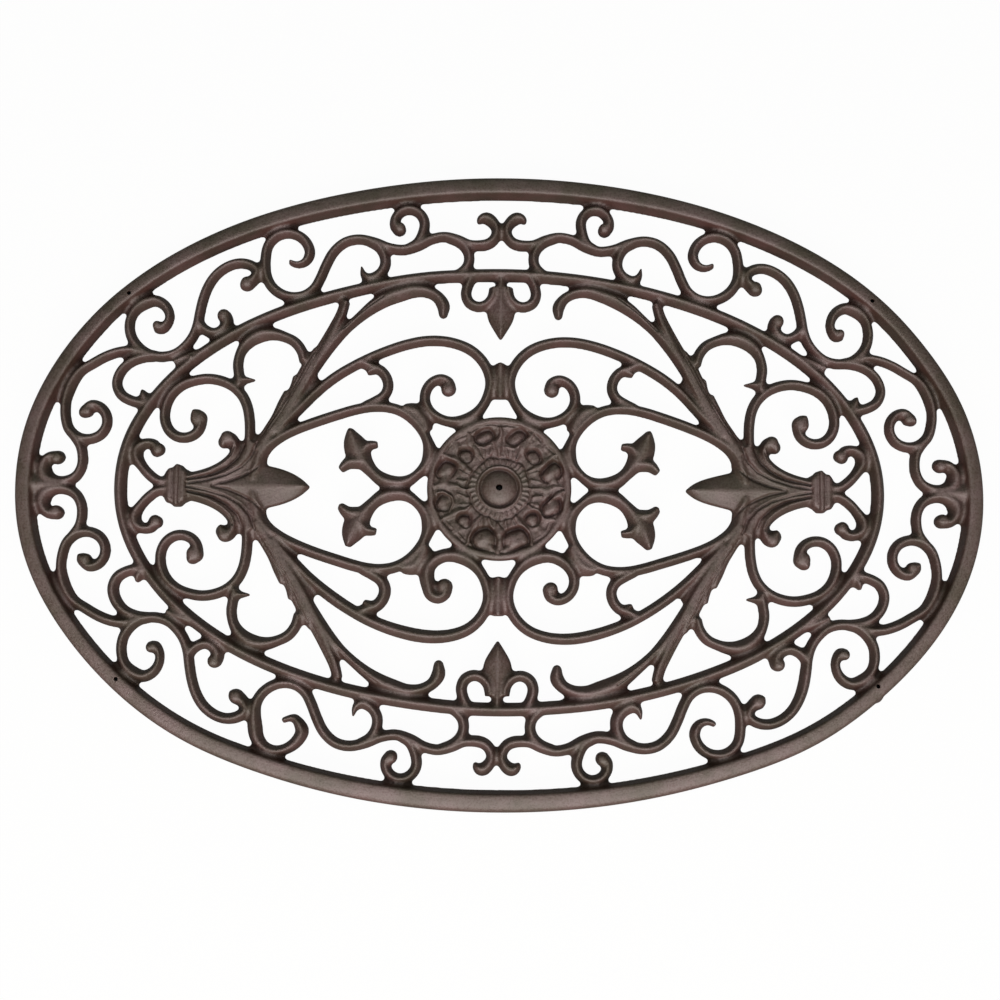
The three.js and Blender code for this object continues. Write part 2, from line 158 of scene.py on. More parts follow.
# Medallion: its turned edge as radius and height shares, and the heights of its carving above
# the underside of the casting
MEDALLION_RADIUS = 53.5
MEDALLION_HEIGHT = 11.0
MEDALLION_EDGE = ((0, 0), (1, 0), (1, 0.75), (0.985, 0.92), (0.955, 1.0), (0.92, 1.0), (0, 1.0))
MEDALLION_CARVED = 50.3         # radius out to which it is carved
MEDALLION_FIELD = 8.6           # height of the ground between the carvings
POCKET_FLOOR = 5.2              # height of the sunk ground round each lobe
POCKET_MARGIN = 2.2             # how much wider than its lobe a pocket is
POCKET_SHIFT = 1.2              # how far the pockets sit towards the back of their lobes
POCKET_SLOPE = 1.6              # width of the slope down into a pocket
LEAF_ROOT = 0.5                 # how far under the pockets' floor the leaves begin
BOSS_RADIUS = 13.8
BOSS_EDGE = 6.2                 # height of the boss at its foot
BOSS_RISE = 7.6
BOSS_ROUNDNESS = 0.7
TOOTH_COUNT = 34
TOOTH_INNER = 17.5
TOOTH_OUTER = 22.4
TOOTH_RISE = 1.4
TOOTH_END = 1.0                 # length over which the teeth run out
THINNEST_STROKE = 0.05
# Where the carver's hand slipped: how far, over what span and where along it. Wear over the
# carving: depth, and radians per millimetre along X and Y. The turned middle has neither, and
# both fade in from its edge and out towards the rim of the carving.
SLIP_FROM = 16.0
SLIP_FADE_IN = 7.0
SLIP_FADE_OUT = 4.0
CARVER_SLIPS = ((0.9, 4.3, 0.7), (0.4, 1.9, 2.1))
WORN_WAVES = ((0.28, 0.62, 0.31), (0.22, -0.4, 0.9), (0.1, 1.3, -0.8))
# Turned rings: inner and outer radius, rise above the ground and roundness
MEDALLION_RINGS = (
    (48.2, 56.0, 2.8, 0.6), (45.0, 47.4, 0.9, 0.8), (14.4, 17.4, 2.4, 0.8), (17.0, 21.0, 0.6, 0.4),
)
MEDALLION_GROOVE = (23.3, 1.2, 1.2)     # radius, half width and depth
# Carving of an eighth, as rise, roundness and strokes of outward and sideways place and half width
MEDALLION_CARVING = (
    (2.0, 1.0, ((21, 12.5, 1.2), (27, 16.5, 2.8), (34, 20.5, 3.2), (42, 24.5, 1.4))),
    (1.4, 1.0, ((23.5, 6.5, 0.9), (27, 5.6, 1.9), (31.0, 5.2, 0.9))),
    (1.4, 1.0, ((23, 11, 0.9), (26.5, 11.6, 2.1), (29.5, 12.8, 0.8))),
    (1.0, 1.0, ((28.5, 28.0, 3.2), (32.5, 31.5, 2.4), (36.5, 34.5, 0.8))),
)
# Carving of the whole disc, as rise, roundness and strokes of places and half width
MEDALLION_LEAVES = (
    (2.4, 0.6, ((0, 46.5, 1.4), (0, 40, 2.8), (0, 34, 5.0), (0, 29.5, 3.6), (0, 24.5, 0.6))),
    (2.2, 0.6, ((0, -47.8, 3.0), (0, -43, 3.0), (0, -36, 3.2), (0, -31, 5.0), (0, -25, 0.8))),
    (1.6, 0.6, ((47.5, 0.5, 1.6), (41, 0, 3.6), (34, 0, 3.6), (28, 0, 2.0), (22.5, 0, 0.8))),
    (1.8, 0.6, (
        (-47.5, 1.5, 2.8), (-41, 2.0, 4.6), (-34, 1.0, 3.8), (-28, 0, 2.0), (-22.5, 0, 0.8),
    )),
    (2.8, 0.7, ((35.5, -10.2, 1.0), (42, -6.2, 2.9), (47.8, -2.2, 1.6))),
    (1.5, 0.7, (
        (-47, -3.4, 1.2), (-41, -3.8, 1.9), (-36.4, -6.8, 1.9), (-34.4, -12.5, 1.8),
        (-36.6, -18.4, 1.2),
    )),
    (1.3, 0.7, (
        (-20.0, 38, 1.0), (-18.2, 34, 1.5), (-15, 31, 1.8), (-10.8, 29.6, 1.8), (-4.5, 31.6, 1.2),
    )),
    (1.3, 0.7, (
        (21.0, 38, 1.0), (19.2, 34, 1.5), (16, 31.2, 1.8), (11.8, 29.8, 1.8), (4.5, 31.6, 1.2),
    )),
    (1.2, 0.7, ((-38, 11, 5.0), (-40, 5, 5.0), (-45, 2, 3.0))),
    (1.0, 0.7, ((38.4, 10.5, 5.2), (40.5, 5, 4.2), (45, 1, 2.4))),
    (1.6, 0.7, ((-13, -39, 5.4), (-9.5, -42.4, 5.2), (-5, -46, 4.0))),
    (1.6, 0.7, ((13.4, -39, 5.4), (9.5, -42.4, 5.2), (5, -46, 4.0))),
)
# Lobes and buttons in sunk pockets: place, half length, half width, height of the top and fullness
MEDALLION_LOBES = (
    (-11.6, 37.2, 6.6, 4.8, 8.4, 0.7), (12.6, 37.4, 6.6, 4.8, 8.4, 0.7),
    (-11.2, -38.8, 9.0, 7.2, 11.6, 0.5), (11.8, -38.6, 9.6, 7.2, 11.6, 0.5),
    (-39.7, 12.2, 6.4, 6.2, 10.6, 0.5), (-41.0, -11.6, 6.0, 6.4, 9.2, 0.6),
    (38.8, 11.4, 7.0, 6.6, 10.6, 0.5), (38.4, -14.4, 7.0, 6.4, 11.4, 0.5),
    (-24.6, 24.6, 4.4, 4.4, 8.8, 0.25), (25.4, 23.2, 4.7, 4.7, 9.4, 0.35),
    (-24.6, -24.0, 4.4, 4.4, 8.8, 0.25), (25.6, -23.2, 4.7, 4.5, 9.2, 0.35),
)

# Lines chased into leaves and stems of a quarter: depth, half width and points
CHASED_LINES = (
    (2.0, 1.7, ((172, 24), (176, 17), (182, 11.5), (190, 7), (200, 3), (212, 0.5))),
    (2.2, 1.6, ((180, 32), (184, 22), (191, 14), (202, 8), (217, 3.5), (231, 1.2))),
    (2.2, 1.6, ((189, 31), (193, 21.5), (201, 14), (212, 8.5), (230, 4.5))),
    (1.8, 1.4, ((196.5, 29), (199, 23), (206, 17), (216, 11.8), (230, 7.8))),
    (1.0, 0.9, (
        (121.5, 131), (127, 119), (134, 106), (141, 93), (148, 80), (155.5, 67), (163, 54),
        (171, 42),
    )),
    (1.2, 1.0, (
        (139, 101), (145.5, 90), (151, 79), (156.5, 69), (163, 57.5), (170, 47), (177, 37),
    )),
    (1.0, 0.9, ((151, 84), (155, 75), (160, 64.5), (167, 52.5), (173.5, 43.5))),
    (0.8, 0.8, ((124.5, 127), (130, 115.5), (137, 103.5), (143, 92), (149.5, 80), (157.5, 65.5))),
    (1.6, 1.2, ((88, 144), (97, 137.5), (107, 129.5), (117, 119.5))),
    (1.5, 1.0, ((236, 0), (236, 8), (236.3, 13))),
    (1.5, 1.0, ((241, 0), (241, 8), (240.7, 13))),
)
TOP_FACE = 0.3                  # least upward share of the normal of a face that is carved
TOP_POINT = 0.2                 # and of a point that is chased
SOFTENINGS = 3                  # rounds in which the carving's edges are worn down

# Feet and their holes
FOOT_X = 277.5
FOOT_Y = 143.5
FEET = {
    "foot_back_right": (FOOT_X, FOOT_Y), "foot_back_left": (-FOOT_X, FOOT_Y),
    "foot_front_left": (-FOOT_X, -FOOT_Y), "foot_front_right": (FOOT_X, -FOOT_Y),
    "foot_centre": (0, 0),
}
HOLE_RADIUS = 2.45
HOLE_TOP = 11.8                 # height up to which a hole keeps its full width
HOLE_MOUTH = 1.6                # the rim's holes narrow above the stems
MOUTH_BOTTOM = 12.8
DRILL_TOP = 30
PAD_RADIUS = 8.4
PAD_TAPER = 0.75                # radius left at a pad's top
PAD_HEIGHT = 9.0

# Turned section of a rubber foot: its disc under the casting, and the stem pushed into the hole
FOOT_PROFILE = (
    (0, 0.5), (3.4, 0.5), (4.0, 0.1), (4.6, 0), (6.7, 0), (7.4, 0.2), (7.85, 0.7), (8.0, 1.4),
    (7.9, 2.2), (7.5, 2.65), (7.0, 2.7), (2.6, 2.7), (2.2, 2.9), (2.1, 3.4), (2.1, 8.4),
    (2.15, 8.8), (2.1, 9.4), (1.7, 10.3), (1.2, 10.7), (0, 10.8),
)

# Grain of the mesh: voxel of the fused casting, how far junctions fill in, and the size it is
# thinned to
VOXEL = 0.8
FILLET = 1.2
SMOOTHINGS = 3
TRIANGLES = 780000

# The casting is cut into a centre and four quarters only to keep each mesh small
CENTRE_PIECE = 58.0             # half side of the square centre
CUT_BOTTOM = -1
CUT_TOP = 40
CUT_REACH = 400                 # past the rim
QUARTERS = {
    "casting_back_right": ((0, 0), (CUT_REACH, CUT_REACH)),
    "casting_back_left": ((-CUT_REACH, 0), (0, CUT_REACH)),
    "casting_front_left": ((-CUT_REACH, -CUT_REACH), (0, 0)),
    "casting_front_right": ((0, -CUT_REACH), (CUT_REACH, 0)),
}
SLIVER = 0.01                   # edges this short, left by the cuts, are closed up
SQUARE_TO_CUT = 0.999           # least share of a cut face's normal across the cut

# Camera: almost straight down over the near half of the mat, where the photograph was taken from
CAMERA_PLACE = (-7.96, -197.35, 1489.94)
CAMERA_ANGLES = (7.585, -0.372, 0.543)
SENSOR_WIDTH = 36
FOCAL_PIXELS = 2016.9
IMAGE_PIXELS = 1000
PRINCIPAL_POINT = (498.9, 488.75)

# White paper that the mat lies on: its half side and colour, how strong a white it shows, and
# how much of that white the camera sees and a gloss reflects
PAPER_HALF = 2500
PAPER_COLOUR = "#80807a"
PAPER_WHITE = 1.1
WHITE_SEEN = 0.88
WHITE_REFLECTED = 0.1

# Softboxes in metres: name, place, width and depth, watts and colour
LAMP_AIM = (0, 0, 0)
LAMPS = (
    ("key_softbox", (0.0, -1.556, 1.09), (3.0, 1.4), 60, "#fff8f6"),
    ("top_softbox", (0.0, 0.0, 1.9), (1.8, 1.8), 9, "#f8f9ff"),
    ("back_fill", (0.0, 1.7, 0.9), (2.0, 0.8), 3.5, "#d4ecd0"),
)
ROOM_COLOUR = "#2e2c19"
WHITE = (1, 1, 1, 1)


def settle(x, y):
    """Place and extra width of a drawn point on the real mat, whose pattern was cut by hand."""
    dx = dy = 0.0
    swell = 1.0
    for cx, cy, move_x, move_y, wider, reach in UNEVEN:
        pull = math.exp(-((x - cx) ** 2 + (y - cy) ** 2) / (2 * reach ** 2))
        dx += move_x * pull
        dy += move_y * pull
        swell += wider * pull
    return x + dx, y + dy, swell


def curl(cx, cy, r0, r1, start, stop, widths=(1, 1), step=30):
    """Points round a centre, the radius and width running from first to last as they turn."""
    count = max(2, round(abs(stop - start) / step))
    points = []
    for i in range(count + 1):
        share = i / count
        turn = math.radians(start + (stop - start) * share)
        radius = r0 + (r1 - r0) * share
        width = widths[0] + (widths[1] - widths[0]) * share
        points.append((cx + radius * math.cos(turn), cy + radius * math.sin(turn), width))
    return points


def smooth_path(points):
    """Stations along a smooth curve through drawn points: place, half width and heading."""
    knots = [Vector((p[0], p[1], (p[2] if len(p) > 2 else 1) * BAR_WIDTH / 2)) for p in points]
    ends = [2 * knots[0] - knots[1]] + knots + [2 * knots[-1] - knots[-2]]
    stations = []
    for before, here, there, after in zip(ends, ends[1:], ends[2:], ends[3:]):
        coming, across, going = (
            max((b - a).length ** 0.5, SHORTEST_GAP)
            for a, b in ((before, here), (here, there), (there, after))
        )
        first, middle, last = here - before, there - here, after - there
        leave = first / coming - (there - before) / (coming + across) + middle / across
        arrive = middle / across - (after - here) / (across + going) + last / going
        leave, arrive = leave * across, arrive * across
        steps = max(1, math.ceil((there - here).length / STATION_STEP))
        for i in range(steps + (there is knots[-1])):
            t = i / steps
            place = (
                here * (2 * t ** 3 - 3 * t ** 2 + 1) + leave * (t ** 3 - 2 * t ** 2 + t)
                + there * (3 * t ** 2 - 2 * t ** 3) + arrive * (t ** 3 - t ** 2)
            )
            heading = (
                here * (6 * t ** 2 - 6 * t) + leave * (3 * t ** 2 - 4 * t + 1)
                + there * (6 * t - 6 * t ** 2) + arrive * (3 * t ** 2 - 2 * t)
            )
            half = max(place.z, THINNEST_HALF)
            stations.append((place.x, place.y, half, heading.to_2d().normalized(), 1.0))
    return stations


def blunt_end(station, side):
    """Stations round a blunt end, past the last one drawn."""
    x, y, half, heading, _ = station
    arcs = []
    for degrees in END_ARCS:
        out = side * half * math.sin(math.radians(degrees))
        narrow = math.cos(math.radians(degrees))
        fall = narrow ** END_FALL
        arcs.append((x + out * heading.x, y + out * heading.y, half * narrow, heading, fall))
    return arcs


def sweep(rings):
    """Fills the first ring of points and extrudes it on from ring to ring."""
    bm = bmesh.new()
    cap = bm.faces.new([bm.verts.new(point) for point in rings[0]])
    for ring in rings[1:]:
        grown = bmesh.ops.extrude_face_region(bm, geom=[cap])["geom"]
        cap = next(part for part in grown if isinstance(part, bmesh.types.BMFace))
        for vert, point in zip(cap.verts, ring):
            vert.co = point
    bmesh.ops.recalc_face_normals(bm, faces=bm.faces)
    return bm


def mirrored(half):
    """Whole section of a bar from one half of it."""
    return tuple(half) + tuple((-offset, up) for offset, up in reversed(half))


def bar(points, blunt="", section=mirrored(SCROLL_HALF), height=BAR_HEIGHT, signs=(1, 1)):
    """Bar along drawn points in one quarter, its end or start rounded off where blunt says so."""
    hand = signs[0] * signs[1]
    drawn = []
    for x, y, *width in points:
        x, y, swell = settle(signs[0] * x, signs[1] * y)
        drawn.append((x, y, swell * (width[0] if width else 1)))
    stations = smooth_path(drawn)
    if "start" in blunt:
        stations = blunt_end(stations[0], -1)[::-1] + stations
    if "end" in blunt:
        stations = stations + blunt_end(stations[-1], 1)
    rings = []
    for x, y, half, heading, fall in stations:
        fullness = min(1, half / (BAR_WIDTH / 2)) if fall == 1.0 else 1
        top = height * fall * (TIP_HEIGHT_SHARE + (1 - TIP_HEIGHT_SHARE) * fullness)
        ring = []
        for offset, up in section:
            aside = (x - heading.y * offset * half * hand, y + heading.x * offset * half * hand)
            ring.append(Vector((*aside, FOOT_DROP + up * top)))
        rings.append(ring)
    return sweep(rings)


def hoop(outer, inner, height, section):
    """Hoop between two ovals, its section given from the outer edge inwards.

    Its last section lies in its second one, so that the two ends overlap.
    """
    rings = []
    for i in range(HOOP_SIDES + 2):
        turn = 2 * math.pi * i / HOOP_SIDES
        ring = []
        for inward, up in section:
            place = []
            for axis, part in ((0, math.cos(turn)), (1, math.sin(turn))):
                out, into = (
                    oval[axis] * math.copysign(abs(part) ** (2 / oval[2]), part)
                    for oval in (outer, inner)
                )
                place.append(out + (into - out) * inward)
            ring.append(Vector((*settle(*place)[:2], FOOT_DROP + up * height)))
        rings.append(ring)
    return sweep(rings)


def turned(profile, x=0.0, y=0.0, sides=DISC_SIDES):
    """Round piece spun about an upright axis from radius and height pairs."""
    bm = bmesh.new()
    verts = [bm.verts.new((r, 0, z)) for r, z in profile]
    edges = [bm.edges.new(pair) for pair in zip(verts, verts[1:])]
    bmesh.ops.spin(
        bm, geom=verts + edges, cent=(0, 0, 0), axis=(0, 0, 1), angle=2 * math.pi, steps=sides,
        use_merge=True, use_duplicate=False, dvec=(0, 0, 0),
    )
    bmesh.ops.remove_doubles(bm, verts=bm.verts, dist=WELD)
    bmesh.ops.recalc_face_normals(bm, faces=bm.faces)
    bmesh.ops.translate(bm, verts=bm.verts, vec=(x, y, 0))
    return bm


def joined(parts, name):
    """One mesh of several shapes, still in millimetres."""
    whole = bmesh.new()
    for part in parts:
        mesh = bpy.data.meshes.new(name)
        part.to_mesh(mesh)
        part.free()
        whole.from_mesh(mesh)
        bpy.data.meshes.remove(mesh)
    return whole


def knob(x, y, radius, signs=(1, 1)):
    """Round blob in which a scroll ends."""
    profile = [(r * radius, FOOT_DROP + z * BAR_HEIGHT) for r, z in KNOB_PROFILE]
    return turned(profile, *settle(signs[0] * x, signs[1] * y)[:2], KNOB_SIDES)


def border_quarter(signs):
    """Border scrollwork of one quarter, from the middle of the long side round to the end."""
    top_hook = [
        (17.6, 201.8, 0.25), (15.9, 205.0, 0.9), (11.6, 206.4, 1.25), (7.0, 203.4, 1.15),
        *curl(14.3, 196.3, 10.6, 11, 172, 265, (1, 1.1)),
    ]
    wave = [
        (24, 185.6), (33, 189.5), (43, 191.9), (53, 190), (63, 184.7), (74, 181.6), (85, 183.2),
        (96, 187.7), (108, 190), (118, 187.6), (126.5, 180), (132, 169.5), (136, 159.5),
    ]
    saddle = [(140.5, 151.3), (147.5, 146), (156.5, 144.4), (165.5, 146.8), (173, 153), (177, 162)]
    crest = curl(160.3, 177.3, 17.2, 16, 0, 170)
    crest_hook = curl(153, 178.6, 8.3, 9.4, 200, 315, (1, 0.5))
    leg_to_band = [(40, 191), (32, 187.5), (26, 181.5), (24.2, 174.5), (26, 168), (31, 163)]
    rim_hook = [
        (70, 182.6), (63, 187.5), *curl(70.7, 202, 12.5, 10.2, 190, -10), (77.4, 197.6, 1.3),
    ]
    band_hook = [
        (100, 188.5), (92.5, 184), (88.2, 177), (87.6, 169.5), (91, 163), (98, 158.5, 1.2),
        (103.5, 162, 0.7), (105.5, 169, 0.15),
    ]
    hanger = [
        (190.8, 154, 1.45), (185.3, 158.3, 1.1), (183.4, 164), (188.8, 168.6), (197.5, 169.9),
        (206.3, 167), (214.4, 160.6), (220.2, 151.6), (223.8, 141.3), (225.9, 131),
        (227.4, 122), (230.4, 113.5), (235.8, 106), (243, 100.2), (252, 97.8),
    ]
    loop = [
        (262, 99), (270.5, 104.4), (276, 112.6), (277.2, 122.5), (274.5, 131.5), (268, 138, 1.25),
        (259.2, 140.3, 1.1), (252, 136.5), (248.3, 129.5, 0.9), (248.6, 123, 0.9), (252.3, 118.3),
        (258, 118.6, 0.6),
    ]
    ball_hook = [
        (227, 124), (221.5, 118.3), (214.6, 115.8, 1.05), (208.4, 118.2, 1.2), (205.2, 123.4, 1.25),
        (206.2, 128.4, 1.2),
    ]
    band_link = [
        (258, 98), (267.5, 97), (277, 93.4), (284.3, 86), (286.5, 77), (282.6, 68.8), (274.3, 64),
        (264, 61.5),
    ]
    link_web = [(214, 106.5, 0.5), (224, 101.5, 0.8), (234, 97.3, 0.9), (244, 93, 0.7)]
    link_spur = [(263, 62, 1.1), (266, 68, 1.0), (267.5, 72.5, 0.3)]
    ram = [
        (258, 98.3), (267, 100.3), (276, 102.2), (286, 101.2), (296, 97.8), (305.5, 92.5),
        (313.6, 87.3), (318.3, 81.5, 1.1), (322.5, 72.3, 1.15), (324.3, 62), (323.3, 51.5),
        (320, 42.5), (313, 36.5), (304.5, 35), (296.5, 38.2), (292, 45), (292.2, 53), (297, 59.3),
        (303.5, 61), (308, 56, 1.25),
    ]
    tail = [
        (316.4, 38.5), (311.4, 31), (309.7, 23), (310.4, 14.5), (314.4, 7.2), (321.5, 3, 1.1),
        (330, 3, 1.1), (337.8, 6.4, 1.7), (339.4, 14.2, 1.5), (334.6, 21.3), (328, 21, 1.3),
    ]
    strokes = [
        (top_hook + wave + saddle + crest + crest_hook, ""), (leg_to_band, ""),
        (rim_hook, "end"), (band_hook, ""), (hanger + loop, "start"), (ball_hook, "end"),
        (band_link, ""), (link_spur, ""), (link_web, ""), (ram, "end"), (tail, "end"),
    ]
    knobs = [
        (77, 198, 4.6), (190.6, 154, 5.2), (207.4, 128.8, 5.1), (254.8, 120, 3.6),
        (305.5, 55.8, 4.2), (328.5, 20.5, 5.0),
    ]
    return [bar(points, blunt, signs=signs) for points, blunt in strokes] + [
        knob(*place, signs) for place in knobs
    ]


def field_quarter(signs):
    """Scrollwork of one quarter inside the band."""
    arch = [
        (166, 40), (158, 50), (150, 58.5), (141.5, 67.5), (132, 76.5), (121, 85), (109, 92.3),
        (96.5, 98.7), (83.5, 104.2), (70.5, 108.5), (57.5, 111.2), (45, 111.6), (33, 109.5),
        (22.5, 105), (14.5, 98), (9.3, 89.5), (7.2, 80),
    ]
    arch_curl = [
        (9.2, 70), (13.6, 61.5), (20.2, 54.2, 1.3), (28.5, 50.3, 1.35), (38, 50.6), (46.5, 53.5),
        (52.8, 58.8), (56, 66), (55.2, 74), (50.7, 80.2), (44, 82.7), (38.2, 80), (37.6, 75, 1.25),
    ]
    bough = [
        (182.5, 5, 1.7), (180, 15, 1.7), (177.8, 24, 1.5), (172, 31, 1.15), (163, 37.6), (153, 43),
        (142, 47.5), (131, 51.5), (120, 55.2), (109, 58.6), (98, 60.9), (87, 61.3), (76.4, 59.2),
        (67, 53.9), (59, 45.8), (54, 36.6), (51.6, 27, 1.4),
    ]
    bough_end = [
        (54.2, 18.0, 1.2), (62.4, 9.2, 0.95), (70, 4.6, 1.25), (77, 3.9, 1.35), (86, 6, 1.4),
        (93.5, 11.5, 1.2), (100, 19, 1.6), (105, 27, 2.4), (109, 35.5, 1.9), (111.8, 44.5, 0.5),
    ]
    left_tip = [(103, 26, 1.3), (97.5, 31.7, 1.0), (90.5, 32.6, 0.65)]
    right_tip = [(101, 19.5, 1.4), (111.5, 18.8, 1.25), (118.2, 13.2, 0.7)]
    feather = [
        (43.2, 131.8, 0.85), (43.3, 138, 1.15), (47.6, 144.6), (56, 149), (66, 150, 1.15),
        (76, 147.5, 1.3), (86, 143.5, 1.3), (96, 137, 1.05), (105.8, 129.2, 0.9),
        (115.3, 120.6, 0.9), (123.8, 111.2), (131, 100.8, 0.9), (138.5, 88, 0.7),
    ]
    leaf_blades = [
        [
            (117, 141.5, 0.9), (119.5, 132, 0.95), (124.5, 121, 1.05), (131, 108, 1.2),
            (138, 95, 1.35), (146, 80, 1.4), (154, 66, 1.35), (163, 52, 1.25), (172, 40, 1.2),
            (181, 28, 1.4),
        ],
        [
            (138.4, 105.2, 0.3), (140.6, 98, 0.85), (145.4, 88, 1.1), (151.6, 75, 1.1),
            (160, 59, 0.8),
        ],
        [(153.6, 84, 0.3), (154, 75, 0.75), (158.5, 63, 1.0), (166, 50, 0.8)],
        [(160, 72.4, 0.3), (162.3, 63, 0.8), (166.3, 52, 0.95), (172.5, 41, 1.0)],
    ]
    leaf_web = [(166, 42, 1.2), (157, 53, 1.3), (149, 65, 1.3), (141.5, 76, 1.05), (137.5, 84, 0.6)]
    cup = [
        (146.5, 95), (148.8, 103), (154, 109.8), (162, 113.8), (171, 116, 1.25), (180.5, 115, 1.5),
        (189, 109.5, 1.3), (194.3, 101.5), (196.2, 92.5), (195.2, 84), (194, 76),
    ]
    cup_spur = [(195, 80.3, 1.1), (182.5, 80.3, 0.15)]
    swan = [
        (186.3, 30), (186, 41), (186.6, 51), (188.5, 60.5), (192.5, 68.8), (199.3, 75.5),
        (208, 79.6), (218, 81.2), (228, 79.8), (237.4, 76.2), (245, 69.4), (249.3, 60),
        (249.8, 49.8), (246, 41.5), (239.3, 37), (231.3, 37), (224.8, 41.3), (222.3, 48),
        (225.6, 52.8, 1.35),
    ]
    bough_link = [
        (104, 94.8), (96.8, 91.6), (89.6, 88.9), (84.9, 83), (83.7, 76), (86.6, 69.6), (93, 65.3),
        (100.5, 61.5),
    ]
    bough_web = [(72, 60.5, 0.9), (63, 57.5, 1.7), (57, 50.5, 1.7), (54, 43, 1.1)]
    link_tip = [(93, 89.5, 0.9), (99.5, 86.5, 0.5)]
    fleur_ring = [
        (21.5, 160.5), (24.9, 154), (26.3, 147), (23.8, 140.8), (17.8, 137.8), (11.2, 139.2),
        (6.6, 144.4), (5, 152),
    ]
    hooked_rib = [
        (204.8, 33.6, 1.25), (204.2, 36.8), (200.3, 37), (196.5, 31.5), (197, 25), (201.5, 19),
        (210, 13), (222, 8.3), (236, 5.5),
    ]
    broad_rib = [(183.5, 33, 1.8), (188, 22, 2.3), (197, 11.5, 2.3), (212, 4, 1.6), (236, 2)]
    end_hook = [
        (246, 2.8), (253, 3.5), (260, 8.3), (265.8, 14.8), (270, 22, 1.25), (269, 28.5, 1.25),
        (263, 32), (257, 31), (255.2, 26.5, 1.2),
    ]
    strokes = [
        (arch + arch_curl, "end"), (bough + bough_end, ""), (left_tip, ""), (right_tip, ""),
        (feather, "start"), (cup, ""), (cup_spur, ""), (swan, "end"), (bough_link, ""),
        (link_tip, ""), (bough_web, ""), (fleur_ring, ""), (hooked_rib, "start"),
        (broad_rib, ""), (end_hook, "end"),
    ]
    knobs = [(38.7, 74.7, 5.4), (224.2, 50.6, 6.4), (202.3, 36.2, 5.4), (253.3, 27.2, 4.7)]
    pieces = [bar(points, blunt, signs=signs) for points, blunt in strokes]
    pieces.append(bar(leaf_web, height=LEAF_WEB_HEIGHT, signs=signs))
    for points in leaf_blades:
        pieces.append(bar(points, section=LEAF_SECTION, height=LEAF_HEIGHT, signs=signs))
    return pieces + [knob(*place, signs) for place in knobs]


def end_axis_pieces(side):
    """Spear leaf, collar and link to the rim, on the long axis at one end."""
    spear_leaf = [
        (140.5, 0, 0.15), (146, 0, 1.3), (152, 0, 2.2), (160, 0, 3.0), (170, 0, 3.65),
        (182, 0, 4.2), (206, 0, 3.6), (234, 0, 1.7),
    ]
    rim_link = [(324, 0, 1.1), (347, 0, 2.7)]
    signs = (side, 1)
    pieces = []
    for x, reach, wide, tall in COLLAR_FLUTES:
        flute = [
            (x, -reach, FLUTE_TIP), (x, FLUTE_TAPER - reach, wide), (x, reach - FLUTE_TAPER, wide),
            (x, reach, FLUTE_TIP),
        ]
        pieces.append(bar(flute, height=tall, signs=signs))
    return [
        bar(spear_leaf, section=mirrored(GABLE_HALF), signs=signs), bar(rim_link, signs=signs),
        *pieces,
    ]


def side_axis_pieces(side):
    """Fleur leaf and the web between the arches, on the short axis at one side."""
    fleur_leaf = [
        (0, 160, 0.9), (0, 152, 1), (0, 145, 1.2), (0, 139, 2.0), (0, 133, 2.5), (0, 127, 2.2),
        (0, 119.5, 1.2), (0, 112.6, 0.15),
    ]
    arch_web = [(0, 94.5, 1), (0, 88, 1.6), (0, 74, 1.6), (0, 67.5, 1)]
    signs = (1, side)
    return [bar(fleur_leaf, section=mirrored(GABLE_HALF), signs=signs), bar(arch_web, signs=signs)]


def medallion_disc():
    """Disc of the medallion with its rounded edge, before the relief."""
    return turned([
        (r * MEDALLION_RADIUS, FOOT_DROP + z * MEDALLION_HEIGHT) for r, z in MEDALLION_EDGE
    ])


def nearness(places, points):
    """How near each place is to a stroke: 1 on its line, 0 from its half width outwards."""
    best = np.full(len(places), 1.0)
    for start, stop in zip(points, points[1:]):
        a, b = np.array(start[:2]), np.array(stop[:2])
        along = np.clip(((places - a) @ (b - a)) / ((b - a) @ (b - a)), 0, 1)
        away = np.linalg.norm(places - a - along[:, None] * (b - a), axis=1)
        half = start[2] + (stop[2] - start[2]) * along
        best = np.minimum(best, away / np.maximum(half, THINNEST_STROKE))
    return 1 - best ** 2


def raise_strokes(height, strokes, places, ground):
    """Raises a relief wherever a stroke, rounded up from the ground, is higher than it."""
    for rise, power, points in strokes:
        full = MEDALLION_FIELD + rise - ground
        np.maximum(height, ground + full * nearness(places, points) ** power, out=height)


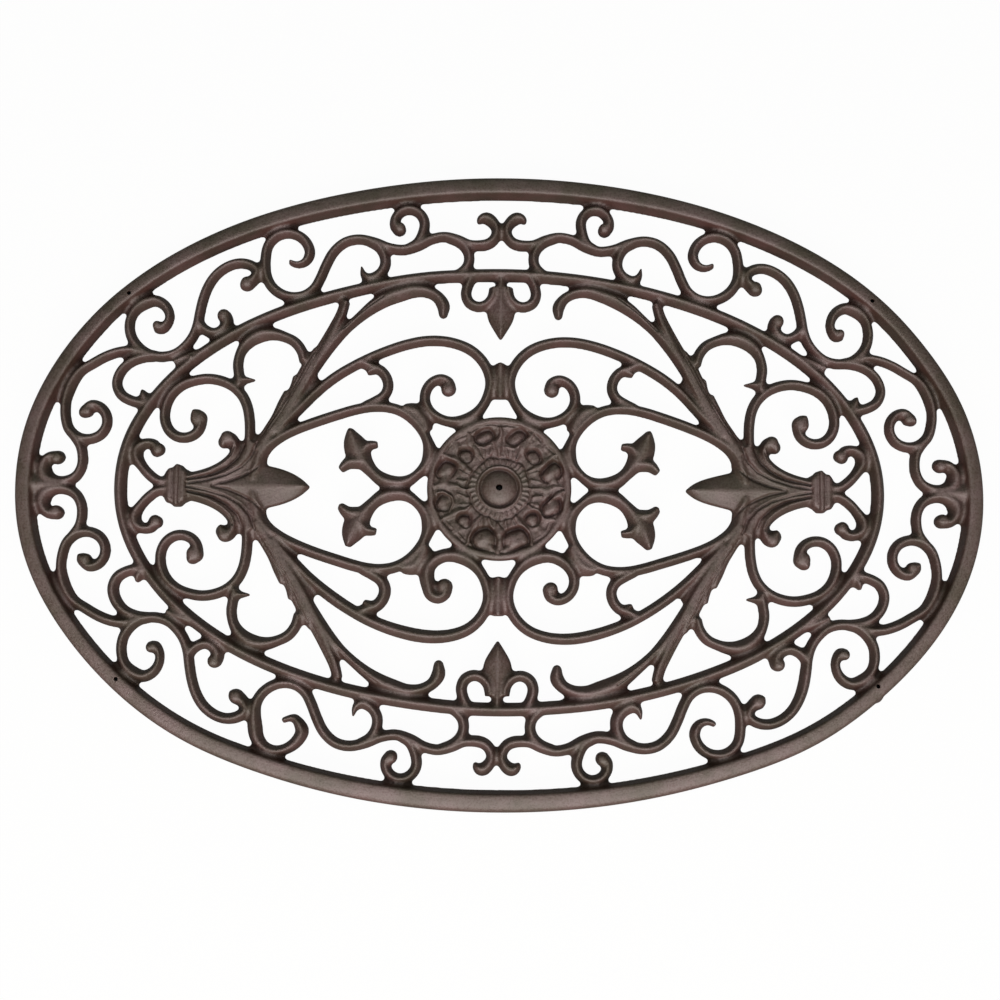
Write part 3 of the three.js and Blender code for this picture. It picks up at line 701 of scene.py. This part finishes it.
def medallion_relief(places):
    """Height of the medallion's carving above the underside of the casting at each place."""
    radius = np.linalg.norm(places, axis=1)
    by_hand = np.clip((radius - SLIP_FROM) / SLIP_FADE_IN, 0, 1)
    by_hand = by_hand * np.clip((MEDALLION_CARVED - radius) / SLIP_FADE_OUT, 0, 1)
    slips = sum(far * np.sin(places[:, ::-1] / span + lag) for far, span, lag in CARVER_SLIPS)
    worn = sum(deep * np.sin(places @ (along_x, along_y)) for deep, along_x, along_y in WORN_WAVES)
    places = places + slips * by_hand[:, None]
    radius = np.linalg.norm(places, axis=1)
    turn = np.arctan2(places[:, 1], places[:, 0])
    folded = np.sort(np.abs(places), axis=1)[:, ::-1]
    height = np.full(len(places), MEDALLION_FIELD)
    for inner, outer, rise, power in MEDALLION_RINGS:
        across = np.clip(1 - ((2 * radius - inner - outer) / (outer - inner)) ** 2, 0, 1)
        height = np.maximum(height, MEDALLION_FIELD + rise * across ** power)
    teeth = 0.5 + 0.5 * np.cos(turn * TOOTH_COUNT)
    teeth = teeth * np.clip((TOOTH_OUTER - radius) / TOOTH_END, 0, 1)
    teeth = np.where(radius > TOOTH_INNER, teeth, 0)
    height = np.maximum(height, MEDALLION_FIELD + TOOTH_RISE * teeth)
    raise_strokes(height, MEDALLION_CARVING, folded, MEDALLION_FIELD)
    groove, reach, depth = MEDALLION_GROOVE
    height -= depth * np.clip(1 - np.abs(radius - groove) / reach, 0, 1)
    for x, y, half_x, half_y, top, fullness in MEDALLION_LOBES:
        grown = (half_x + POCKET_MARGIN, half_y + POCKET_MARGIN)
        pocket = np.linalg.norm((places - (x, y + POCKET_SHIFT)) / grown, axis=1)
        sunk = np.clip((1 - pocket) * half_x / POCKET_SLOPE, 0, 1)
        height += (POCKET_FLOOR - height) * sunk
        inside = 1 - np.linalg.norm((places - (x, y)) / (half_x, half_y), axis=1) ** 2
        dome = POCKET_FLOOR + (top - POCKET_FLOOR) * np.clip(inside, 0, 1) ** fullness
        np.maximum(height, dome, out=height)
    raise_strokes(height, MEDALLION_LEAVES, places, POCKET_FLOOR - LEAF_ROOT)
    height += worn * by_hand
    dome = np.clip(1 - (radius / BOSS_RADIUS) ** 2, 0, 1) ** BOSS_ROUNDNESS
    return np.where(radius < BOSS_RADIUS, BOSS_EDGE + BOSS_RISE * dome, height)


def carve(casting):
    """Presses the fine carving into the top of the fused casting, sizes still in millimetres."""
    mesh = casting.data
    bm = bmesh.new()
    bm.from_mesh(mesh)
    refined = MEDALLION_CARVED + 1
    top = [
        face for face in bm.faces
        if face.normal.z > TOP_FACE and face.calc_center_median().to_2d().length < refined
    ]
    edges = {edge for face in top for edge in face.edges}
    bmesh.ops.subdivide_edges(bm, edges=list(edges), cuts=1, use_grid_fill=True)
    bm.normal_update()
    bm.to_mesh(mesh)
    bm.free()
    count = len(mesh.vertices)
    places = np.empty(count * 3)
    mesh.vertices.foreach_get("co", places)
    places = places.reshape(count, 3)
    upward = np.empty(count * 3)
    mesh.vertex_normals.foreach_get("vector", upward)
    upward = np.clip(upward.reshape(count, 3)[:, 2], 0, 1)
    folded = np.abs(places[:, :2])
    for depth, reach, points in CHASED_LINES:
        box = np.array(points)
        near = np.all((folded > box.min(0) - reach) & (folded < box.max(0) + reach), axis=1)
        near &= (upward > TOP_POINT) & (places[:, 2] > FOOT_DROP + 1)
        line = [(x, y, reach) for x, y in points]
        places[near, 2] -= depth * upward[near] * nearness(folded[near], line) ** 2
    radius = np.linalg.norm(places[:, :2], axis=1)
    disc = (radius < MEDALLION_CARVED) & (places[:, 2] > FOOT_DROP + MEDALLION_HEIGHT / 2)
    places[disc, 2] = FOOT_DROP + medallion_relief(places[disc, :2])
    mesh.vertices.foreach_set("co", places.ravel())
    mesh.update()
    bm = bmesh.new()
    bm.from_mesh(mesh)
    bm.verts.ensure_lookup_table()
    softened = [bm.verts[i] for i in np.flatnonzero(disc)]
    for _ in range(SOFTENINGS):
        bmesh.ops.smooth_vert(
            bm, verts=softened, factor=0.5, use_axis_x=True, use_axis_y=True, use_axis_z=True,
        )
    bm.to_mesh(mesh)
    bm.free()


def finished(obj, *steps):
    """Applies modifiers, each a kind and its settings, one after another."""
    for kind, settings in steps:
        modifier = obj.modifiers.new(kind.title(), kind)
        for key, value in settings.items():
            setattr(modifier, key, value)
    depsgraph = bpy.context.evaluated_depsgraph_get()
    mesh = bpy.data.meshes.new_from_object(obj.evaluated_get(depsgraph))
    obj.modifiers.clear()
    old, obj.data = obj.data, mesh
    bpy.data.meshes.remove(old)


def cut_solid(obj, tool, operation):
    """Cuts a casting with a closed tool shape, which is thrown away."""
    cutter = make_object("cutter", tool, scale=1)
    finished(obj, ("BOOLEAN", dict(operation=operation, solver="MANIFOLD", object=cutter)))
    mesh = cutter.data
    bpy.data.objects.remove(cutter)
    bpy.data.meshes.remove(mesh)


def block(low, high):
    """Rectangular block between two corners."""
    bm = bmesh.new()
    bmesh.ops.create_cube(bm, size=1)
    bmesh.ops.translate(bm, verts=bm.verts, vec=(0.5, 0.5, 0.5))
    bmesh.ops.scale(bm, verts=bm.verts, vec=[b - a for a, b in zip(low, high)])
    bmesh.ops.translate(bm, verts=bm.verts, vec=low)
    return bm


def part_of(whole, name, tool, operation):
    """Copy of a casting cut by a tool, its cut faces flat with sharp edges.

    The cut can leave slivers and pairs of faces folded flat onto each other, which are taken out.
    """
    obj = bpy.data.objects.new(name, whole.data.copy())
    bpy.context.scene.collection.objects.link(obj)
    cut_solid(obj, tool, operation)
    bm = bmesh.new()
    bm.from_mesh(obj.data)
    bmesh.ops.remove_doubles(bm, verts=bm.verts, dist=SLIVER)
    bmesh.ops.dissolve_degenerate(bm, edges=bm.edges, dist=SLIVER)
    bmesh.ops.triangulate(bm, faces=bm.faces)
    folded = [
        face for face in bm.faces if any(
            other is not face and set(other.verts) == set(face.verts)
            for other in face.verts[0].link_faces
        )
    ]
    bmesh.ops.delete(bm, geom=folded, context="FACES")
    for face in bm.faces:
        centre = face.calc_center_median()
        for axis in (0, 1):
            on_cut = any(abs(abs(centre[axis]) - cut) < WELD for cut in (0, CENTRE_PIECE))
            if on_cut and abs(face.normal[axis]) > SQUARE_TO_CUT:
                face.smooth = False
                for edge in face.edges:
                    edge.smooth = False
    bm.to_mesh(obj.data)
    bm.free()
    return obj


def make_object(name, bm, scale=MM):
    """Object at the origin from a shape in millimetres."""
    bmesh.ops.scale(bm, vec=(scale, scale, scale), verts=bm.verts)
    mesh = bpy.data.meshes.new(name)
    bm.to_mesh(mesh)
    bm.free()
    obj = bpy.data.objects.new(name, mesh)
    bpy.context.scene.collection.objects.link(obj)
    return obj


def linear(colour):
    """Linear values of an sRGB hex colour."""
    values = [int(colour[i:i + 2], 16) / 255 for i in (1, 3, 5)]
    return tuple(v / 12.92 if v <= 0.04045 else ((v + 0.055) / 1.055) ** 2.4 for v in values) + (1,)


def add_node(tree, kind, settings=(), links=()):
    """Node of a material with its settings, and what feeds its inputs."""
    node = tree.nodes.new("ShaderNode" + kind)
    for key, value in dict(settings).items():
        if isinstance(key, int) or key in node.inputs:
            node.inputs[key].default_value = value
        else:
            setattr(node, key, value)
    for key, source in dict(links).items():
        tree.links.new(source, node.inputs[key])
    return node


def new_material(name):
    """Material with an empty node tree and its output."""
    material = bpy.data.materials.new(name)
    material.use_nodes = True
    tree = material.node_tree
    tree.nodes.clear()
    return material, tree


def satin_painted_iron():
    """Grey iron cast in green sand, dipped in a thin satin brown-black paint.

    The paint follows the grain that the sand leaves, so its soft highlights break up into
    specks, and on the tops the grain's high points are painted lighter still, as painted
    highlight. It is redder on the walls and greyer on the tops. The tops are painted lighter and
    greyer the higher they stand and the more they face up: partly where shoes rub it, partly as
    painted sheen; the walls and low parts keep the darker, redder paint as painted shade. Both
    drift in patches about 28 mm wide. Real sand grain is 0.3 to 0.5 mm wide. Here it is 1.5 mm,
    so that it shows in a picture of the whole mat.
    """
    material, tree = new_material("satin_painted_cast_iron")
    place = add_node(tree, "TexCoord").outputs["Object"]
    # Height and upward facing pick out the tops, painted lighter as wear from shoes and as painted
    # sheen; low parts and walls stay darker as painted shade
    height = add_node(tree, "SeparateXYZ", {}, {"Vector": place}).outputs["Z"]
    rise = add_node(
        tree, "MapRange", {"From Min": 4 * MM, "From Max": 14 * MM}, {"Value": height}
    ).outputs["Result"]
    normal = add_node(tree, "NewGeometry").outputs["Normal"]
    upright = add_node(tree, "SeparateXYZ", {}, {"Vector": normal})
    facing_up = add_node(
        tree, "MapRange", {"From Min": 0.25, "From Max": 0.9}, {"Value": upright.outputs["Z"]}
    ).outputs["Result"]
    grain = add_node(
        tree, "TexNoise", {"Scale": 1 / (1.5 * MM), "Detail": 3.0, "Roughness": 0.7},
        {"Vector": place},
    )
    high_grains = add_node(
        tree, "MapRange", {"From Min": 0.38, "From Max": 0.62, "To Min": 0.45, "To Max": 1.35},
        {"Value": grain.outputs["Fac"]},
    ).outputs["Result"]
    # Share of the light tone: high, facing up and on the grain's high points; it sets the wear from
    # shoes and the painted sheen and highlight specks together
    upper = add_node(tree, "Math", {"operation": "MULTIPLY"}, {0: rise, 1: facing_up})
    rubbed_and_sheen = add_node(
        tree, "Math", {"operation": "MULTIPLY"}, {0: upper.outputs[0], 1: high_grains}
    ).outputs[0]
    cloud = add_node(
        tree, "TexNoise", {"Scale": 1 / (28 * MM), "Detail": 4.0, "Roughness": 0.6},
        {"Vector": place},
    )
    paint = add_node(tree, "ValToRGB", {}, {"Fac": cloud.outputs["Fac"]})
    worn = add_node(tree, "ValToRGB", {}, {"Fac": cloud.outputs["Fac"]})
    # First ramp: darker, redder paint of the walls and low parts, painted shade there; second ramp:
    # lighter grey of the tops, wear from shoes and painted sheen in one
    for ramp, tones in ((paint, ("#392b21", "#4c322d")), (worn, ("#5b5248", "#72625f"))):
        for stop, position, tone in zip(ramp.color_ramp.elements, (0.35, 0.65), tones):
            stop.position = position
            stop.color = linear(tone)
    colour = add_node(
        tree, "Mix", {"data_type": "RGBA"},
        {"Factor": rubbed_and_sheen, 6: paint.outputs["Color"], 7: worn.outputs["Color"]},
    )
    swell = add_node(
        tree, "TexNoise", {"Scale": 1 / (7 * MM), "Detail": 2.0, "Roughness": 0.5},
        {"Vector": place},
    )
    relief = add_node(
        tree, "Math", {"operation": "MULTIPLY_ADD", 1: 1.5},
        {0: swell.outputs["Fac"], 2: grain.outputs["Fac"]},
    )
    bump = add_node(
        tree, "Bump", {"Strength": 0.8, "Distance": 0.45 * MM}, {"Height": relief.outputs[0]}
    )
    gloss = add_node(
        tree, "MapRange", {"From Min": 0.3, "From Max": 0.7, "To Min": 0.38, "To Max": 0.54},
        {"Value": grain.outputs["Fac"]},
    )
    shader = add_node(
        tree, "BsdfPrincipled", {},
        {
            "Base Color": colour.outputs[2], "Normal": bump.outputs["Normal"],
            "Roughness": gloss.outputs["Result"],
        },
    )
    add_node(tree, "OutputMaterial", {}, {"Surface": shader.outputs["BSDF"]})
    return material


def moulded_rubber():
    """Black rubber moulded in a bead-blasted tool.

    The blasting leaves pits about 0.4 mm wide that spread every highlight out to a dull sheen,
    and the rubber's bloom greys it in spots about 3 mm wide.
    """
    material, tree = new_material("black_moulded_rubber")
    place = add_node(tree, "TexCoord").outputs["Object"]
    mottle = add_node(tree, "TexNoise", {"Scale": 1 / (3 * MM), "Detail": 3.0}, {"Vector": place})
    colour = add_node(tree, "ValToRGB", {}, {"Fac": mottle.outputs["Fac"]})
    stops = zip(colour.color_ramp.elements, (0.35, 0.7), ("#121213", "#232323"))
    for stop, position, tone in stops:
        stop.position = position
        stop.color = linear(tone)
    blast = add_node(tree, "TexNoise", {"Scale": 1 / (0.4 * MM), "Detail": 2.0}, {"Vector": place})
    bump = add_node(
        tree, "Bump", {"Strength": 0.4, "Distance": 0.05 * MM}, {"Height": blast.outputs["Fac"]}
    )
    gloss = add_node(
        tree, "MapRange", {"To Min": 0.6, "To Max": 0.8}, {"Value": mottle.outputs["Fac"]}
    )
    shader = add_node(
        tree, "BsdfPrincipled", {},
        {
            "Base Color": colour.outputs["Color"], "Normal": bump.outputs["Normal"],
            "Roughness": gloss.outputs["Result"],
        },
    )
    add_node(tree, "OutputMaterial", {}, {"Surface": shader.outputs["BSDF"]})
    return material


def studio_floor():
    """Matt white paper; the camera sees it as white with only a part of the shadow."""
    material, tree = new_material("white_paper")
    paper = add_node(tree, "BsdfDiffuse", {"Color": linear(PAPER_COLOUR)})
    glow = add_node(tree, "Emission", {"Color": WHITE, "Strength": PAPER_WHITE})
    rays = add_node(tree, "LightPath")
    clear = add_node(
        tree, "Math", {"operation": "MAXIMUM"},
        {0: rays.outputs["Is Camera Ray"], 1: rays.outputs["Is Transmission Ray"]},
    )
    share = add_node(tree, "Math", {"operation": "MULTIPLY", 1: WHITE_SEEN}, {0: clear.outputs[0]})
    share = add_node(
        tree, "Math", {"operation": "MULTIPLY_ADD", 1: WHITE_REFLECTED},
        {0: rays.outputs["Is Glossy Ray"], 2: share.outputs[0]},
    )
    mix = add_node(
        tree, "MixShader", {}, {0: share.outputs[0], 1: paper.outputs[0], 2: glow.outputs[0]}
    )
    add_node(tree, "OutputMaterial", {}, {"Surface": mix.outputs[0]})
    return material


def dim_room():
    """World: a dim room lights the mat, and the camera sees white past the edge of the paper."""
    world = bpy.data.worlds.new("studio")
    world.use_nodes = True
    room = world.node_tree
    room.nodes.clear()
    dim = add_node(room, "Background", {"Color": linear(ROOM_COLOUR), "Strength": 1.0})
    white = add_node(room, "Background", {"Color": WHITE, "Strength": 1.0})
    rays = add_node(room, "LightPath")
    seen = add_node(
        room, "MixShader", {},
        {0: rays.outputs["Is Camera Ray"], 1: dim.outputs[0], 2: white.outputs[0]},
    )
    add_node(room, "OutputWorld", {}, {"Surface": seen.outputs[0]})
    return world


def lamp(name, place, size, watts, colour):
    """Rectangular softbox lamp over the mat, in metres."""
    data = bpy.data.lights.new(name, "AREA")
    data.shape = "RECTANGLE"
    data.size, data.size_y = size
    data.energy = watts
    data.color = linear(colour)[:3]
    obj = bpy.data.objects.new(name, data)
    obj.location = place
    obj.rotation_euler = (Vector(LAMP_AIM) - Vector(place)).to_track_quat("-Z", "Y").to_euler()
    bpy.context.scene.collection.objects.link(obj)


def camera_above():
    """Camera at the place and angle that the photograph was taken from."""
    data = bpy.data.cameras.new("camera")
    data.sensor_width = SENSOR_WIDTH
    data.lens = SENSOR_WIDTH * FOCAL_PIXELS / IMAGE_PIXELS
    data.shift_x = 0.5 - PRINCIPAL_POINT[0] / IMAGE_PIXELS
    data.shift_y = PRINCIPAL_POINT[1] / IMAGE_PIXELS - 0.5
    obj = bpy.data.objects.new("camera", data)
    obj.location = Vector(CAMERA_PLACE) * MM
    obj.rotation_euler = [math.radians(angle) for angle in CAMERA_ANGLES]
    bpy.context.scene.collection.objects.link(obj)
    return obj


def pattern_parts():
    """Every bar, blob and hoop of the pattern, and the pads that the rim's feet are pushed into."""
    parts = [medallion_disc()]
    for signs in ((1, 1), (-1, 1), (-1, -1), (1, -1)):
        parts += border_quarter(signs) + field_quarter(signs)
    for side in (1, -1):
        parts += end_axis_pieces(side) + side_axis_pieces(side)
    pad_top = FOOT_DROP + PAD_HEIGHT
    pad = [(0, FOOT_DROP), (PAD_RADIUS, FOOT_DROP), (PAD_RADIUS * PAD_TAPER, pad_top), (0, pad_top)]
    parts += [turned(pad, x, y, PAD_SIDES) for x in (FOOT_X, -FOOT_X) for y in (FOOT_Y, -FOOT_Y)]
    band_section = [((1 - offset) / 2, up) for offset, up in SCROLL_HALF]
    band_section += [((1 + offset) / 2, up) for offset, up in reversed(SCROLL_HALF)]
    parts.append(hoop(RIM_OUTER, RIM_INNER, RIM_HEIGHT, RIM_SECTION))
    parts.append(hoop(BAND_OUTER, BAND_INNER, BAND_HEIGHT, band_section))
    parts.append(bar(POURING_STUB, height=STUB_HEIGHT, signs=(1, -1)))
    return parts


def fused_casting():
    """The casting in one body, its junctions filled out as poured iron's are, and carved."""
    casting = make_object("iron_casting", joined(pattern_parts(), "casting"), scale=1)
    voxels = dict(mode="VOXEL", voxel_size=VOXEL, adaptivity=0, use_smooth_shade=True)
    finished(casting, ("REMESH", voxels))
    for strength in (FILLET, -FILLET):
        finished(casting, ("DISPLACE", dict(strength=strength, mid_level=0)), ("REMESH", voxels))
    finished(casting, ("SMOOTH", dict(factor=0.5, iterations=SMOOTHINGS)))
    carve(casting)
    finished(casting, ("DECIMATE", dict(ratio=TRIANGLES / (2 * len(casting.data.polygons)))))
    return casting


def foot_drills():
    """Drills of the five holes; the rim's holes narrow above the stems, the centre one doesn't."""
    drills = []
    for x, y in FEET.values():
        mouth = HOLE_RADIUS if (x, y) == (0, 0) else HOLE_MOUTH
        profile = [
            (0, 0), (HOLE_RADIUS, 0), (HOLE_RADIUS, HOLE_TOP), (mouth, MOUTH_BOTTOM),
            (mouth, DRILL_TOP), (0, DRILL_TOP),
        ]
        drills.append(turned(profile, x, y, DRILL_SIDES))
    return joined(drills, "drills")


def cut_up(casting):
    """The centre and the four quarters of the casting, which is thrown away."""
    low = (-CENTRE_PIECE, -CENTRE_PIECE, CUT_BOTTOM)
    high = (CENTRE_PIECE, CENTRE_PIECE, CUT_TOP)
    pieces = [part_of(casting, "casting_centre", block(low, high), "INTERSECT")]
    cut_solid(casting, block(low, high), "DIFFERENCE")
    for name, (low, high) in QUARTERS.items():
        tool = block((*low, CUT_BOTTOM), (*high, CUT_TOP))
        pieces.append(part_of(casting, name, tool, "INTERSECT"))
    bpy.data.objects.remove(casting)
    return pieces


casting = fused_casting()
cut_solid(casting, foot_drills(), "DIFFERENCE")
iron = satin_painted_iron()
for piece in cut_up(casting):
    piece.data.transform(Matrix.Scale(MM, 4))
    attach(piece, "root")
    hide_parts("mat_casting")
    piece.data.materials.clear()
    piece.data.materials.append(iron)
rubber = moulded_rubber()
for node, (x, y) in FEET.items():
    foot = make_object("rubber_" + node, turned(FOOT_PROFILE, x, y, FOOT_SIDES))
    foot.data.shade_smooth()
    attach(foot, "root")
    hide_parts(node)
    foot.data.materials.append(rubber)

floor_bm = bmesh.new()
bmesh.ops.create_grid(floor_bm, x_segments=1, y_segments=1, size=PAPER_HALF)
floor = make_object("floor", floor_bm)
floor.data.materials.append(studio_floor())
for name, place, size, watts, colour in LAMPS:
    lamp(name, place, size, watts, colour)
bpy.context.scene.camera = camera_above()
bpy.context.scene.world = dim_room()
bpy.context.scene.view_settings.view_transform = "Standard"
